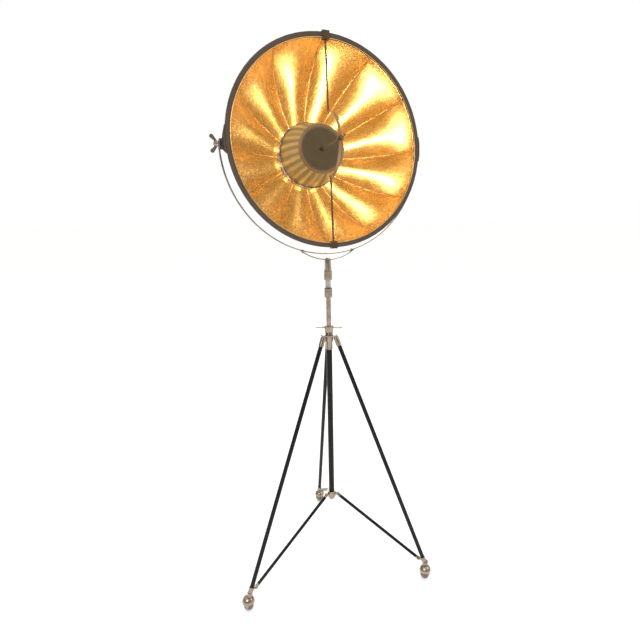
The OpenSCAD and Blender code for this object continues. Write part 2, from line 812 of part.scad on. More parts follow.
module shade_ribs() color(BLACK) in_shade() intersection() {
    rib_band();
    for (gore = [0:gore_count - 1])
        rotate([0, 0, gore * gore_angle]) translate([0, -rib_w / 2, -2 * shade_depth])
            cube([rim_d, rib_w, 2 * shade_depth]);
}

module back_cap() color(BLACK) in_shade() translate([0, 0, cap_plane]) mirror([0, 0, 1]) difference() {
    union() {
        cylinder(r = back_cap_r, h = back_rim_h);
        translate([0, 0, back_rim_h]) cylinder(r1 = back_cap_r, r2 = back_top_r, h = back_h - back_rim_h);
    }
    translate([0, 0, -cut_past]) cylinder(r = back_hollow_r, h = back_h / 2);
    cylinder(r = cap_hole_r, h = 2 * back_h);
}

module cord_gland() color(STEEL) in_shade() translate([0, 0, cap_plane - back_h - gland_h])
    tube(gland_r, cord_r, gland_h);

module lamp_socket() color(BLACK) in_shade() difference() {
    union() {
        translate([0, 0, cap_plane]) cylinder(r = boss_r, h = plate_z - cap_plane);
        translate([0, 0, plate_z]) cylinder(r = plate_r, h = plate_t);
        translate([0, 0, plate_z]) cylinder(r = socket_r, h = plate_t + socket_h);
    }
    translate([0, 0, glass_foot_z - socket_bore_h]) cylinder(r = socket_bore, h = 2 * socket_bore_h);
    translate([0, 0, cap_plane - cut_past]) cylinder(r = cord_r, h = socket_h);
}

module bulb_base() color(STEEL) in_shade()
    translate([0, 0, glass_foot_z - base_h]) cylinder(r = base_r, h = base_h);

// The bulb's globe and neck, drawn in by an inset
module bulb_form(inset, overlap) {
    translate([0, 0, glass_z]) sphere(r = glass_r - inset);
    translate([0, 0, glass_foot_z - overlap])
        cylinder(r1 = glass_foot_r - inset, r2 = glass_neck_r - inset, h = glass_neck_h + overlap);
}

module bulb_glass() color("#f4ead2") in_shade() difference() {
    bulb_form(0, 0);
    bulb_form(glass_t, cut_past);
}

// ---------- cross rod and glare bell ----------

// Along the upright diameter: local +Z runs from the middle to the rim
module up_diameter(side) rotate([-90 * side, 0, 0]) children();

module cross_rod() color(BRONZE) in_shade() for (side = [-1, 1])
    up_diameter(side) translate([0, 0, rod_start]) cylinder(r = rod_r, h = rod_end - rod_start);

module rod_clips() color(BRONZE) in_shade() for (side = [-1, 1]) difference() {
    translate([-clip_w / 2, side > 0 ? clip_in : -clip_out, hoop_back + touch_gap])
        cube([clip_w, clip_out - clip_in, clip_front - hoop_back - touch_gap]);
    rotate_extrude($fn = big_fn) translate([rim_r - hoop_w - touch_gap, -hoop_t])
        square([hoop_w + 2 * touch_gap, hoop_t - hoop_back]);
    up_diameter(side) cylinder(r = rod_r + run_gap, h = rod_end + touch_gap);
}

module rod_bow() color(BRONZE) in_shade() difference() {
    union() {
        difference() {
            rotate([0, 90, 0]) translate([0, 0, -bow_w / 2])
                tube(bow_r + bow_t / 2, bow_r - bow_t / 2, bow_w);
            translate([-bow_w, -2 * bow_r, -4 * bow_r]) cube([2 * bow_w, 4 * bow_r, 4 * bow_r]);
        }
        for (side = [-1, 1])
            translate([-bow_w / 2, side * bow_r - bow_t / 2, -bow_tail])
                cube([bow_w, bow_t, bow_tail + touch_gap]);
    }
    cylinder(r = bush_r + run_gap, h = 2 * bow_r);
}

module focus_bushing() color(STEEL) in_shade() difference() {
    union() {
        translate([0, 0, bow_r - bow_t - bush_flange_h]) cylinder(r = bush_flange_r, h = bush_flange_h);
        translate([0, 0, bow_r - bow_t - cut_past]) cylinder(r = bush_r, h = bush_out + bow_t);
    }
    cylinder(r = focus_r + run_gap, h = 2 * bow_r);
}

module focus_stem() color(BRONZE) in_shade() translate([0, 0, bell_cap_z]) {
    cylinder(r = focus_r, h = focus_tip - bell_cap_z);
    translate([0, 0, -focus_foot_h]) cylinder(r = focus_foot_r, h = focus_foot_h);
}

module focus_nut() color(BRONZE) in_shade() translate([0, 0, focus_nut_z]) rotate([0, 0, focus_nut_turn])
    wing_nut(bush_r + run_gap, focus_boss_r, focus_boss_h, focus_wing_tip, focus_wing_z, focus_pad_r);

module bell_cap() color(BRONZE) in_shade() translate([0, 0, bell_cap_z]) difference() {
    cylinder(r = bell_front_r, h = bell_cap_h);
    translate([0, 0, bell_cap_h - bell_lip_h]) cylinder(r = bell_front_r - bell_lip, h = 2 * bell_lip_h);
    translate([0, 0, -bell_lip_h]) cylinder(r = bell_front_r - bell_lip, h = bell_cap_h - bell_lip_h);
    cylinder(r = focus_r + run_gap, h = 2 * bell_cap_h);
}

// Skirt radius at step i behind the cap, with a slight outward swell
function skirt_point(i, inset) =
    let (f = i / bell_steps)
    [
        skirt_front_r + (skirt_back_r - skirt_front_r) * f + bell_bulge * sin(180 * f) - inset,
        skirt_front + (skirt_back - skirt_front) * f
    ];

module bell_skirt() color(STEEL) in_shade() rotate_extrude() polygon(concat(
    [for (i = [0:bell_steps]) skirt_point(i, 0)],
    [for (i = [bell_steps:-1:0]) skirt_point(i, bell_wall)]
));

module bell_ring() color("#b9b7ba") in_shade() translate([0, 0, -bell_back])
    tube(bell_ring_r, bell_ring_r - bell_ring_t, bell_ring_h);

// ---------- nodes ----------

column_tube();
column_ferrule();
column_end_cap();
crown();
collet_body();
collet_nut();
spider_hub();
leg_tube(1);  // leg_tube_1
leg_tube(2);  // leg_tube_2
leg_tube(3);  // leg_tube_3
leg_top_ferrule(1);  // leg_top_ferrule_1
leg_top_ferrule(2);  // leg_top_ferrule_2
leg_top_ferrule(3);  // leg_top_ferrule_3
foot_ferrule(1);  // foot_ferrule_1
foot_ferrule(2);  // foot_ferrule_2
foot_ferrule(3);  // foot_ferrule_3
strut_tube(1);  // strut_tube_1
strut_tube(2);  // strut_tube_2
strut_tube(3);  // strut_tube_3
strut_ends();
base_screws();
caster_hood(1);  // caster_hood_1
caster_hood(2);  // caster_hood_2
caster_hood(3);  // caster_hood_3
caster_wheel(1);  // caster_wheel_1
caster_wheel(2);  // caster_wheel_2
caster_wheel(3);  // caster_wheel_3
pole_tube();
pole_barrel();
pan_spigot();
pan_collar();
pan_lock_screw();
yoke_stud();
saddle_nut();
yoke_saddle();
yoke_bar();
saddle_rivets();
pivot_spacers();
pivot_studs();
wing_nut_left();
thumb_nut_right();
rim_hoop();
rim_pads();
shade_skin();
shade_lining();
shade_ribs();
back_cap();
cord_gland();
lamp_socket();
bulb_base();
bulb_glass();
cross_rod();
rod_clips();
rod_bow();
focus_bushing();
focus_stem();
focus_nut();
bell_cap();
bell_skirt();
bell_ring();
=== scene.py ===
"""Tripod floor lamp with a gored reflector shade: the looks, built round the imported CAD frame."""

import json
import math
import random

import bpy
from mathutils import Matrix, Vector


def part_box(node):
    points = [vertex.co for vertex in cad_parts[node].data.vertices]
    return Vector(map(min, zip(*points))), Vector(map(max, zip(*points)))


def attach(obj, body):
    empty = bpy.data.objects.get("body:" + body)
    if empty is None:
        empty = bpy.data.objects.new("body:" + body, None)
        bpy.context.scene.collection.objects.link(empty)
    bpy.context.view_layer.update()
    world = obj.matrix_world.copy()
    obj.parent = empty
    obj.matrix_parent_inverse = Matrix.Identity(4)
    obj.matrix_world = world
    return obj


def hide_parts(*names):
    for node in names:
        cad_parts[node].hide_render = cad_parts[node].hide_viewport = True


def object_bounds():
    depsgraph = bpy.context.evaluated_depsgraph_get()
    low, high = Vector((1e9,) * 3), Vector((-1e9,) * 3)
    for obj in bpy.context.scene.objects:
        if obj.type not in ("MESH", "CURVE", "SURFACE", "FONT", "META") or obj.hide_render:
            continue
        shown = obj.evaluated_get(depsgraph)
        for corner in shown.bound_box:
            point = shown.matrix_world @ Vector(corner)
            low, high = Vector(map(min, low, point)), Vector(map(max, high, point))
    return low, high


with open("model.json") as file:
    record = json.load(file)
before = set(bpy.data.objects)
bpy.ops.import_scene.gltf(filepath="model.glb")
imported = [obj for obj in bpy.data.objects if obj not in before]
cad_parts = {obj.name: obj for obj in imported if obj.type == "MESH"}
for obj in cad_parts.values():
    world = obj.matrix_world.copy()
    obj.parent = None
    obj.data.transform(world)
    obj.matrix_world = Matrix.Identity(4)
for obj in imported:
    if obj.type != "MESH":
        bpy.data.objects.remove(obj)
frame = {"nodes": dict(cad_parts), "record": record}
CAD_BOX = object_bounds()
MM = 0.001
TAU = 2 * math.pi


def middle(node):
    low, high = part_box(node)
    return (low + high) / 2


def half_width(node):
    low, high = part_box(node)
    return (high.x - low.x) / 2


def joint_axis(name):
    joints = frame["record"]["behaviour"]["joints"]
    return Vector(next(joint["axis"] for joint in joints if joint["name"] == name)).normalized()


def polar(radius, angle, height):
    return Vector((radius * math.cos(angle), radius * math.sin(angle), height))


# ---------- the shade's own frame: X along the pivots, Y up the dish, Z out of its mouth ----------

MOUTH = joint_axis("bell_focus")
ACROSS = Vector((1, 0, 0))
UP = MOUTH.cross(ACROSS)
SHADE = Matrix.Translation(middle("rim_hoop")) @ Matrix((ACROSS, UP, MOUTH)).transposed().to_4x4()
RIM_R = half_width("rim_hoop")
HOOP_W, HOOP_T = 19 * MM, 16 * MM

# The dish: a deep bowl whose gores are drawn in between the seams
GORES = 12
GORE_TURN = TAU / GORES
DISH_R = RIM_R - 14 * MM
DISH_DEPTH = 343 * MM
DISH_POWER = 1.1
HUB_HOLE = 58 * MM
GORE_SAG = 24 * MM
SAG_POWER = 1.2
LINING_OUT = 0.5 * MM
CLOTH_OUT = 2.0 * MM
W_HUB = math.asin(HUB_HOLE / DISH_R)
W_RIM = math.acos((HOOP_T / 2 / DISH_DEPTH) ** (1 / DISH_POWER))


def dish_frame(t):
    """Radius, height and outward slope of the dish at t, from 0 at the hub to 1 at the rim."""
    w = W_HUB + (W_RIM - W_HUB) * t
    radial = DISH_POWER * DISH_DEPTH * math.cos(w) ** (DISH_POWER - 1) * math.sin(w)
    axial = -DISH_R * math.cos(w)
    size = math.hypot(radial, axial)
    return DISH_R * math.sin(w), -DISH_DEPTH * math.cos(w) ** DISH_POWER, radial / size, axial / size


def gore_point(gore, t, s, out, wrinkle=0.0):
    """A point of a gore at t along it and s across it, from -1 to 1, moved out from the cloth's line."""
    r, z, nr, nz = dish_frame(t)
    move = out - GORE_SAG * math.sin(math.pi * t) ** SAG_POWER * (1 - s * s) + wrinkle
    return polar(r + nr * move, GORE_TURN * (gore + (s + 1) / 2), z + nz * move)


def meridian_lengths(steps):
    """Distance along a seam from the hub to each step."""
    points = [gore_point(0, i / steps, -1, 0) for i in range(steps + 1)]
    lengths = [0.0]
    for a, b in zip(points, points[1:]):
        lengths.append(lengths[-1] + (b - a).length)
    return lengths


# ---------- mesh helpers ----------

TUBE_SIDES = 8


def new_object(name, mesh, material, body, smooth=True):
    piece = bpy.data.objects.new(name, mesh)
    bpy.context.scene.collection.objects.link(piece)
    mesh.materials.append(material)
    if smooth:
        mesh.polygons.foreach_set("use_smooth", [True] * len(mesh.polygons))
    if body:
        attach(piece, body)
    return piece


def mesh_from(name, points, faces):
    mesh = bpy.data.meshes.new(name)
    mesh.from_pydata([tuple(p) for p in points], [], faces)
    mesh.update()
    return mesh


def lay_uv(mesh, uvs):
    """Gives each point of the mesh its own UV."""
    layer = mesh.uv_layers.new(name="UVMap")
    for loop in mesh.loops:
        layer.data[loop.index].uv = uvs[loop.vertex_index]


def thicken(piece, thickness):
    modifier = piece.modifiers.new("Solidify", "SOLIDIFY")
    modifier.thickness = thickness
    modifier.offset = 0.0


def grid_faces(rows, cols, round_rows=False, round_cols=False):
    """Quads of a grid of points; a round direction joins its last line to its first."""
    last_row = rows if round_rows else rows - 1
    last_col = cols if round_cols else cols - 1
    return [
        (i * cols + j, i * cols + (j + 1) % cols,
         (i + 1) % rows * cols + (j + 1) % cols, (i + 1) % rows * cols + j)
        for i in range(last_row) for j in range(last_col)
    ]


def lathe(outline, segments):
    """Turns a closed outline of (radius, height) points about the shade's axis."""
    points = [SHADE @ polar(r, TAU * k / segments, z) for k in range(segments) for r, z in outline]
    faces = grid_faces(segments, len(outline), round_rows=True, round_cols=True)
    return points, [face[::-1] for face in faces]


def tube_along(points, radius, closed=False):
    """A round tube that follows points; an open one has its ends capped."""
    rings, normal = [], None
    count = len(points)
    turns = [TAU * k / TUBE_SIDES for k in range(TUBE_SIDES)]
    for i, point in enumerate(points):
        before = points[(i - 1) % count] if closed or i else point
        after = points[(i + 1) % count] if closed or i < count - 1 else point
        along = (after - before).normalized()
        if normal is None:
            normal = along.orthogonal().normalized()
        normal = (normal - along * normal.dot(along)).normalized()
        side = along.cross(normal)
        rings += [point + radius * (math.cos(a) * normal + math.sin(a) * side) for a in turns]
    faces = grid_faces(count, TUBE_SIDES, round_rows=closed, round_cols=True)
    if not closed:
        faces.append(tuple(reversed(range(TUBE_SIDES))))
        faces.append(tuple(range((count - 1) * TUBE_SIDES, count * TUBE_SIDES)))
    return rings, faces


# ---------- material helpers ----------

# A mix node's factor and colour sockets, which stand among those for numbers and vectors
MIX_INPUTS, MIX_RESULT = (0, 6, 7), 2


def rgba(value):
    """A colour with its alpha; a plain number makes a grey."""
    return (*value, 1) if isinstance(value, tuple) else (value, value, value, 1)


class Nodes:
    """A node tree being filled: one call makes a node and links its inputs."""

    def __init__(self, owner):
        owner.use_nodes = True
        self.owner = owner
        self.tree = owner.node_tree
        self.shader = self.tree.nodes.get("Principled BSDF") or self.tree.nodes["Background"]

    def link(self, value, socket):
        if isinstance(value, bpy.types.NodeSocket):
            self.tree.links.new(value, socket)
        else:
            socket.default_value = rgba(value) if socket.type == "RGBA" else value

    def make(self, kind, output=0, inputs=None, **settings):
        node = self.tree.nodes.new(kind)
        for key, value in settings.items():
            setattr(node, key, value)
        for key, value in (inputs or {}).items():
            self.link(value, node.inputs[key])
        return node.outputs[output]

    def split(self, vector):
        """The x, y and z of a vector."""
        node = self.tree.nodes.new("ShaderNodeSeparateXYZ")
        self.link(vector, node.inputs[0])
        return tuple(node.outputs)

    def place(self, scale=(1, 1, 1), source="Object", turn=(0, 0, 0)):
        """Object or UV coordinates, stretched by scale."""
        coordinates = self.make("ShaderNodeTexCoord", source)
        return self.make("ShaderNodeMapping", 0, {"Vector": coordinates, "Scale": scale, "Rotation": turn})

    def in_shade(self):
        """The x, y and z of a point in the shade's own frame."""
        into = SHADE.inverted()
        return self.split(self.make("ShaderNodeMapping", 0, {
            "Vector": self.make("ShaderNodeTexCoord", "Object"),
            "Location": into.translation, "Rotation": into.to_euler()}))

    def noise(self, where, scale, detail, rough, distort=0.0):
        return self.make("ShaderNodeTexNoise", "Fac", {
            "Vector": where, "Scale": scale, "Detail": detail, "Roughness": rough, "Distortion": distort})

    def ramp(self, value, low, high, at=(0.35, 0.65)):
        """Two colours or two numbers, chosen by value between the two stops."""
        ramp = self.tree.nodes.new("ShaderNodeValToRGB")
        self.link(value, ramp.inputs["Fac"])
        for stop, colour, position in zip(ramp.color_ramp.elements, (low, high), at):
            stop.position = position
            stop.color = rgba(colour)
        return ramp.outputs["Color"]

    def maths(self, operation, a, b=0.0):
        return self.make("ShaderNodeMath", 0, {0: a, 1: b}, operation=operation)

    def mix(self, factor, a, b):
        """The colour a where factor is 0 and b where it is 1."""
        node = self.tree.nodes.new("ShaderNodeMix")
        node.data_type = "RGBA"
        for value, socket in zip((factor, a, b), MIX_INPUTS):
            self.link(value, node.inputs[socket])
        return node.outputs[MIX_RESULT]

    def bump(self, height, distance, strength, below=None):
        inputs = {"Height": height, "Distance": distance, "Strength": strength}
        if below is not None:
            inputs["Normal"] = below
        return self.make("ShaderNodeBump", 0, inputs)

    def finish(self, **inputs):
        """Sets the shader's own sockets, then hands over the material or world."""
        for key, value in inputs.items():
            self.link(value, self.shader.inputs[key.replace("_", " ")])
        return self.owner


def surface(name):
    return Nodes(bpy.data.materials.new(name))


# ---------- materials ----------

def gold_leaf():
    """Gold leaf laid by hand on cloth: fine strokes, small creases and patches."""
    n = surface("gold_leaf")
    dull, bright = (0.50, 0.265, 0.048), (0.60, 0.345, 0.085)
    rubbed, creased = (0.68, 0.42, 0.14), (0.42, 0.22, 0.045)
    where = n.place(source="UV")
    strokes = n.noise(n.place((210, 42, 1), "UV"), scale=1.0, detail=5, rough=0.6, distort=1.4)
    patches = n.noise(where, scale=22, detail=3, rough=0.6, distort=0.4)
    squiggle = n.noise(where, scale=60, detail=5, rough=0.62, distort=2.6)
    lines = n.maths("ABSOLUTE", n.maths("SUBTRACT", squiggle, 0.5))
    creases = n.ramp(lines, 0.0, 1.0, (0.0, 0.05))
    fine = n.noise(where, scale=300, detail=3, rough=0.6)
    tone = n.mix(n.ramp(strokes, 0.0, 1.0, (0.38, 0.66)), dull, bright)
    tone = n.mix(n.ramp(patches, 0.0, 0.6, (0.35, 0.75)), tone, rubbed)
    tone = n.mix(n.maths("MULTIPLY", n.maths("SUBTRACT", 1.0, creases), 0.2), tone, creased)
    normal = n.bump(strokes, distance=0.8 * MM, strength=0.16)
    normal = n.bump(creases, distance=0.4 * MM, strength=0.22, below=normal)
    normal = n.bump(fine, distance=0.2 * MM, strength=0.12, below=normal)
    return n.finish(Base_Color=tone, Metallic=0.85, Roughness=n.ramp(strokes, 0.21, 0.31, (0.3, 0.7)),
                    Normal=normal, Coat_Weight=0.35, Coat_Roughness=0.22)


def gold_seam():
    """The rolled seam bead, brighter where the leaf is rubbed."""
    n = surface("gold_seam")
    grain = n.noise(n.place(), scale=500, detail=4, rough=0.6)
    return n.finish(Base_Color=n.mix(grain, (0.90, 0.52, 0.17), (1.0, 0.80, 0.45)), Metallic=0.9,
                    Roughness=n.ramp(grain, 0.20, 0.36),
                    Normal=n.bump(grain, distance=0.3 * MM, strength=0.6))


def black_cloth():
    """Plain-woven black cotton with a dusty bloom."""
    n = surface("black_cloth")
    between, thread, dusty = (0.008, 0.008, 0.009), (0.034, 0.032, 0.030), (0.040, 0.037, 0.034)
    threads = {"Vector": n.place(source="UV"), "Scale": 420.0, "Distortion": 0.4}
    warp, weft = (n.make("ShaderNodeTexWave", "Fac", threads, bands_direction=way) for way in "XY")
    weave = n.maths("MULTIPLY", warp, weft)
    dust = n.noise(n.place(), scale=9, detail=4, rough=0.6)
    tone = n.mix(n.ramp(dust, 0.0, 0.5), n.mix(weave, between, thread), dusty)
    return n.finish(Base_Color=tone, Roughness=n.ramp(dust, 0.78, 0.92),
                    Normal=n.bump(weave, distance=0.4 * MM, strength=0.7),
                    Sheen_Weight=0.25, Sheen_Roughness=0.4)


def rim_tape(name, source):
    """Dark brown twill tape, paler where it is rubbed."""
    n = surface(name)
    groove, thread, rubbed = (0.034, 0.022, 0.013), (0.080, 0.053, 0.033), (0.090, 0.061, 0.038)
    slant = n.place(source=source, turn=(0, 0, math.radians(38)))
    twill = n.make("ShaderNodeTexWave", "Fac", {"Vector": slant, "Scale": 260.0, "Distortion": 0.6})
    patches = n.noise(n.place(), scale=30, detail=4, rough=0.6)
    tone = n.mix(n.ramp(patches, 0.0, 0.40), n.mix(twill, groove, thread), rubbed)
    return n.finish(Base_Color=tone, Roughness=n.ramp(patches, 0.50, 0.68),
                    Normal=n.bump(twill, distance=0.4 * MM, strength=0.5), Specular_IOR_Level=0.3)


def enamel_black():
    """Black stove enamel on tube: orange peel, dust and fine handling scratches."""
    n = surface("enamel_black")
    where = n.place()
    peel = n.noise(where, scale=180, detail=3, rough=0.5)
    smudge = n.noise(where, scale=14, detail=5, rough=0.65)
    scratches = n.noise(n.place((60, 60, 900)), scale=1.0, detail=6, rough=0.7)
    tone = n.mix(n.ramp(smudge, 0.0, 0.6), (0.005, 0.0045, 0.004), (0.014, 0.012, 0.010))
    rough = n.mix(n.ramp(scratches, 0.0, 1.0, (0.5, 0.75)), n.ramp(smudge, 0.22, 0.36), 0.46)
    return n.finish(Base_Color=tone, Roughness=rough, Normal=n.bump(peel, distance=0.12 * MM, strength=0.5),
                    Coat_Weight=0.06, Coat_Roughness=0.08, Specular_IOR_Level=0.15)


def nickel(name, base=(0.43, 0.35, 0.27), low=0.16, high=0.30):
    """Nickel plate with turning lines, clouding and rubbed patches."""
    n = surface(name)
    tarnish = tuple(0.6 * channel for channel in base)
    turning = n.noise(n.place((40, 40, 1500)), scale=1.0, detail=4, rough=0.6)
    clouds = n.noise(n.place(), scale=35, detail=4, rough=0.6)
    return n.finish(Base_Color=n.mix(n.ramp(clouds, 0.0, 1.0), tarnish, base), Metallic=1.0,
                    Roughness=n.mix(turning, n.ramp(clouds, low, high), high),
                    Normal=n.bump(turning, distance=0.08 * MM, strength=0.5))


def bronze_metal(name, light, dark):
    """Bronze lacquer, clouded and rubbed down in places."""
    n = surface(name)
    clouds = n.noise(n.place(), scale=45, detail=5, rough=0.6)
    grain = n.noise(n.place(), scale=600, detail=2, rough=0.5)
    return n.finish(Base_Color=n.mix(clouds, dark, light), Metallic=0.4, Roughness=n.ramp(clouds, 0.3, 0.5),
                    Normal=n.bump(grain, distance=0.1 * MM, strength=0.5))


def bell_polish():
    """Spun and polished aluminium; its gold colour and the light radial lines that run from front to back are
    painted reflection of the gold gores.
    """
    n = surface("bell_polish")
    # Painted reflection: these golds and the light colour stand for the gold gores mirrored in the skirt
    dull, clear, gore_reflection_colour = (0.22, 0.175, 0.078), (0.29, 0.235, 0.112), (0.56, 0.47, 0.25)
    x, y, height = n.in_shade()
    turn = n.maths("ARCTAN2", y, x)
    # Painted reflection of the gores: 24 light radial lines, with noise drawn out from front to back that
    # also sets the roughness and bump
    reflected_gore_stripes = n.maths("SINE", n.maths("MULTIPLY", turn, 24.0))
    ray = n.make("ShaderNodeCombineXYZ", 0, {
        0: n.maths("MULTIPLY", turn, 26.0), 1: n.maths("MULTIPLY", height, 9.0)})
    spin_marks_and_reflection = n.noise(ray, scale=1.0, detail=4, rough=0.6)
    clouds = n.noise(n.place(), scale=18, detail=4, rough=0.6)
    painted_reflection_streaks = n.maths("ADD", spin_marks_and_reflection, n.maths("MULTIPLY", reflected_gore_stripes, 0.16))
    tone = n.mix(n.ramp(painted_reflection_streaks, 0.0, 0.75, (0.42, 0.66)), n.mix(clouds, dull, clear), gore_reflection_colour)
    return n.finish(Base_Color=tone, Metallic=0.2, Roughness=n.ramp(spin_marks_and_reflection, 0.36, 0.48),
                    Normal=n.bump(spin_marks_and_reflection, distance=0.6 * MM, strength=0.4))


def bell_enamel():
    """Satin brown enamel on the bell's closed front, paler and more orange towards its lip, where that colour
    is a painted reflection of the gold dish.
    """
    n = surface("bell_enamel")
    dark, brown, painted_lip_reflection = (0.080, 0.053, 0.022), (0.108, 0.074, 0.032), (0.36, 0.20, 0.085)
    x, y = n.in_shade()[:2]
    reach = n.maths("SQRT", n.maths("ADD", n.maths("MULTIPLY", x, x), n.maths("MULTIPLY", y, y)))
    clouds = n.noise(n.place(), scale=30, detail=5, rough=0.6)
    grain = n.noise(n.place(), scale=700, detail=2, rough=0.5)
    # Painted reflection of the gold dish: a paler orange band towards the lip
    lip_reflection_mask = n.ramp(n.maths("MULTIPLY", reach, 10.0), 0.0, 0.85, (0.76, 0.96))
    return n.finish(Base_Color=n.mix(lip_reflection_mask, n.mix(clouds, dark, brown), painted_lip_reflection), Metallic=0.35,
                    Roughness=n.ramp(clouds, 0.36, 0.46),
                    Normal=n.bump(grain, distance=0.1 * MM, strength=0.5))


def hammered_mirror():
    """Bright chrome broken into small hammered facets; each facet's dark or bright bluish colour is a painted
    reflection.
    """
    n = surface("hammered_mirror")
    dent = n.make("ShaderNodeTexVoronoi", "Distance", {"Vector": n.place(), "Scale": 170.0})
    painted_facet_reflection = dent.node.outputs["Color"]
    # Painted reflection: each facet gets a random dark or bright bluish colour while the metallic stays low
    tone = n.mix(n.ramp(painted_facet_reflection, 0.0, 1.0, (0.2, 0.8)), (0.04, 0.04, 0.08), (0.66, 0.68, 0.80))
    return n.finish(Base_Color=tone, Metallic=0.1, Roughness=n.ramp(dent, 0.10, 0.26, (0.1, 0.6)),
                    Normal=n.bump(dent, distance=2.2 * MM, strength=0.9))


def satin_lacquer(name, base):
    """Satin lacquer or moulded phenolic with a fine grain and grey scuffs."""
    n = surface(name)
    grain = n.noise(n.place(), scale=900, detail=3, rough=0.5)
    scuffs = n.noise(n.place((120, 30, 30)), scale=1.0, detail=6, rough=0.7)
    tone = n.mix(n.ramp(scuffs, 0.0, 0.5, (0.5, 0.8)), base, (0.09, 0.085, 0.08))
    return n.finish(Base_Color=tone, Roughness=n.ramp(scuffs, 0.38, 0.62),
                    Normal=n.bump(grain, distance=0.15 * MM, strength=0.6))


def opal_bulb():
    """Opal glass lit from inside."""
    n = surface("opal_bulb")
    cloud = n.noise(n.place(), scale=25, detail=2, rough=0.5)
    glow = n.mix(cloud, (1.0, 0.80, 0.52), (1.0, 0.88, 0.66))
    return n.finish(Base_Color=glow, Emission_Color=glow, Emission_Strength=9.0,
                    Roughness=n.ramp(cloud, 0.2, 0.35))


def pale_floor():
    """Studio floor, faintly lit of itself so that it stays white."""
    n = surface("studio_floor")
    cloud = n.noise(n.place(), scale=0.8, detail=2, rough=0.5)
    return n.finish(Base_Color=n.mix(cloud, (0.93, 0.93, 0.92), (0.95, 0.95, 0.945)), Roughness=0.75,
                    Emission_Color=(1.0, 1.0, 1.0), Emission_Strength=0.08)


# ---------- shade pieces ----------

GORE_ROWS, GORE_COLS = 56, 28
ALONG = meridian_lengths(GORE_ROWS)
CLOTH_SEED = 11
GORE_THICKNESS = 0.5 * MM

# Puckers of the cloth: their height, how fast they come, and how they fade
RIPPLE, RIPPLE_RATE, RIPPLE_EDGE = 0.55 * MM, 150, 8
FOLD, FOLD_RATE, FOLD_FADE = 1.1 * MM, 17, 9
DRIFT, DRIFT_ALONG, DRIFT_ACROSS = 1.3 * MM, 5, 2.3

SEAM_STEPS = 48
SEAM_OUT = -0.5 * MM
SEAM_BEAD_R = 1.0 * MM


def crease(phase, t, s):
    """Small puckers of the cloth beside its seams and where it is drawn to the hub."""
    inside = 1 - s * s
    ripples = math.sin(RIPPLE_RATE * t + phase) * s ** RIPPLE_EDGE * RIPPLE
    folds = math.sin(FOLD_RATE * s + phase) * math.exp(-t * FOLD_FADE) * inside * FOLD
    drift = math.sin(DRIFT_ALONG * t + DRIFT_ACROSS * s + phase) * inside * math.sin(math.pi * t) * DRIFT
    return ripples + folds + drift


def gore_mesh(name, gore, out, phase):
    """One gore's sheet, with its across and along distances in metres as UV."""
    points, uvs = [], []
    for i in range(GORE_ROWS + 1):
        t = i / GORE_ROWS
        half = math.pi * dish_frame(t)[0] / GORES
        for j in range(GORE_COLS + 1):
            s = 2 * j / GORE_COLS - 1
            points.append(SHADE @ gore_point(gore, t, s, out, crease(phase, t, s)))
            uvs.append((s * half + gore, ALONG[i]))
    mesh = mesh_from(name, points, grid_faces(GORE_ROWS + 1, GORE_COLS + 1))
    lay_uv(mesh, uvs)
    return mesh


def make_gores(name, out, material, node):
    """The twelve cut sheets of one layer of the shade."""
    phases = random.Random(CLOTH_SEED)
    made = []
    for gore in range(GORES):
        label = f"{name}_{gore + 1:02d}"
        mesh = gore_mesh(label, gore, out, phases.uniform(0, TAU))
        piece = new_object(label, mesh, material, "shade")
        thicken(piece, GORE_THICKNESS)
        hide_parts(node)
        made.append(piece)
    return made


def make_seams(material):
    """Raised gold bead along each seam inside the dish."""
    pieces = []
    for gore in range(GORES):
        line = [SHADE @ gore_point(gore, i / SEAM_STEPS, -1, SEAM_OUT) for i in range(SEAM_STEPS + 1)]
        mesh = mesh_from("seam", *tube_along(line, SEAM_BEAD_R))
        piece = new_object(f"seam_bead_{gore + 1:02d}", mesh, material, "shade")
        pieces.append(piece)
    return pieces


# A channel's section, its steps, the part of the rib that it covers, and its stitches
CHANNEL_HALF_W, CHANNEL_RISE, CHANNEL_SUNK = 5.5 * MM, 3.2 * MM, 0.8 * MM
CHANNEL_STEPS, CHANNEL_ARC = 52, 10
CHANNEL_FROM, CHANNEL_SPAN = 0.01, 0.975
CHANNEL_ROUND = 0.8
CHANNEL_THICKNESS = 0.6 * MM
STITCH_DEPTH, STITCH_RATE = 0.35 * MM, 260


def channel_row(angle, t):
    """Points across a rib's channel at t along the dish, pinched in by each stitch."""
    r, z, nr, nz = dish_frame(t)
    base, normal = polar(r, angle, z), polar(nr, angle, nz)
    side = Vector((-math.sin(angle), math.cos(angle), 0))
    rise = CHANNEL_RISE - STITCH_DEPTH * math.sin(STITCH_RATE * t) ** 2
    row = []
    for k in range(CHANNEL_ARC + 1):
        turn = math.pi * k / CHANNEL_ARC
        lift = CLOTH_OUT - CHANNEL_SUNK + rise * math.sin(turn) ** CHANNEL_ROUND
        row.append(SHADE @ (base + normal * lift - side * CHANNEL_HALF_W * math.cos(turn)))
    return row


